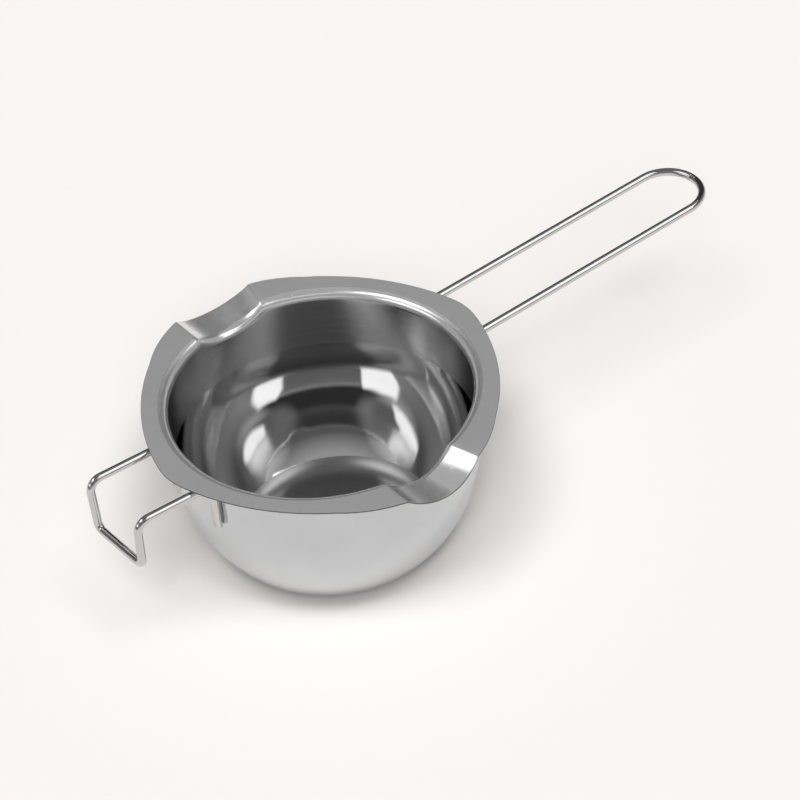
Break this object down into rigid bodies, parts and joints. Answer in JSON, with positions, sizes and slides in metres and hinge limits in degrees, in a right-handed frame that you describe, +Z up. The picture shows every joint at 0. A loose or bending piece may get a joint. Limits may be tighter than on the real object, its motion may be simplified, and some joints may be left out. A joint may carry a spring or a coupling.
{
  "type": "candle melting pot",
  "caption": "Round-bottomed melting pot with pouring spouts on both sides, a long wire loop handle and a short wire hook that rests on a saucepan rim.",
  "frame": {"origin": "centre of the flat base's underside", "axes": "+X towards the long handle, +Z up, the two spouts on +Y and -Y"},
  "size_m": [0.3052, 0.1588, 0.0782],
  "materials": {
    "bowl_steel": "pressed stainless sheet: satin flange, polished outside, finely brushed bright inside",
    "wire_steel": "bright polished stainless wire",
    "weld_metal": "rough resistance weld, slightly darker than the sheet"
  },
  "bodies": {
    "root": {"bowl": "bowl_steel", "long_handle": "wire_steel", "rest_hook": "wire_steel", "handle_weld_left": "weld_metal", "handle_weld_right": "weld_metal", "hook_weld_left": "weld_metal", "hook_weld_right": "weld_metal"}
  },
  "joints": []
}
